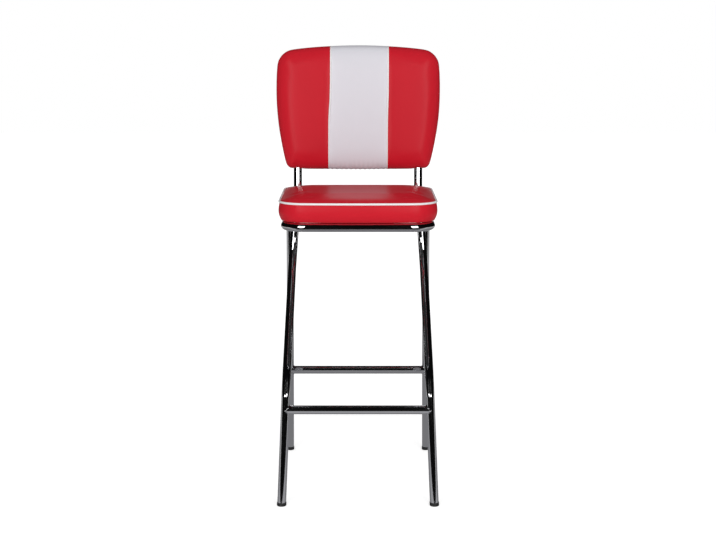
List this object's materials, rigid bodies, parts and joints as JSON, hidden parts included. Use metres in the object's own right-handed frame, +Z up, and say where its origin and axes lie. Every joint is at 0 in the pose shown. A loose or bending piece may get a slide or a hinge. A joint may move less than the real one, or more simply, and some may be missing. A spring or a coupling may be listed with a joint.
{
  "type": "diner counter stool",
  "caption": "Tall stool with a boxed red vinyl seat, a padded backrest with a pale centre panel, and a bent chrome tube frame on plastic foot caps.",
  "frame": {"origin": "on the floor, midway between the left and right feet and at the middle of the object's depth", "axes": "+Z up, +X towards the right as seen from the front, and the front of the seat faces -Y"},
  "size_m": [0.4364, 0.5043, 1.131],
  "materials": {
    "chrome_tube": "polished chrome plate",
    "black_cap_plastic": "moulded black plastic, fine satin",
    "zinc_fixings": "bright zinc plate",
    "plywood": "raw plywood",
    "black_cloth": "thin woven dust cloth",
    "foam": "cut upholstery foam, hidden under the covers",
    "red_vinyl": "smooth red vinyl upholstery cloth with a soft gloss",
    "pale_vinyl": "smooth pale grey-white vinyl upholstery cloth",
    "white_piping": "smooth white vinyl welt"
  },
  "bodies": {
    "root": {"left_front_leg_post": "chrome_tube", "right_front_leg_post": "chrome_tube", "left_rear_leg": "chrome_tube", "right_rear_leg": "chrome_tube", "seat_ring": "chrome_tube", "front_foot_rail": "chrome_tube", "rear_foot_rail": "chrome_tube", "seat_mounting_tabs": "chrome_tube", "left_front_foot_cap": "black_cap_plastic", "right_front_foot_cap": "black_cap_plastic", "left_rear_foot_cap": "black_cap_plastic", "right_rear_foot_cap": "black_cap_plastic", "seat_bolts": "zinc_fixings", "seat_bolt_washers": "zinc_fixings", "seat_tee_nuts": "zinc_fixings", "backrest_screws": "zinc_fixings", "seat_board": "plywood", "backrest_core": "plywood", "seat_underside_cloth": "black_cloth", "seat_foam": "foam", "backrest_front_foam": "foam", "backrest_rear_foam": "foam", "seat_side_band": "red_vinyl", "seat_top_cover": "red_vinyl", "backrest_right_panel": "red_vinyl", "backrest_left_panel": "red_vinyl", "backrest_rear_cover": "red_vinyl", "backrest_centre_panel": "pale_vinyl", "seat_piping": "white_piping", "backrest_right_piping": "white_piping", "backrest_left_piping": "white_piping"}
  },
  "joints": []
}
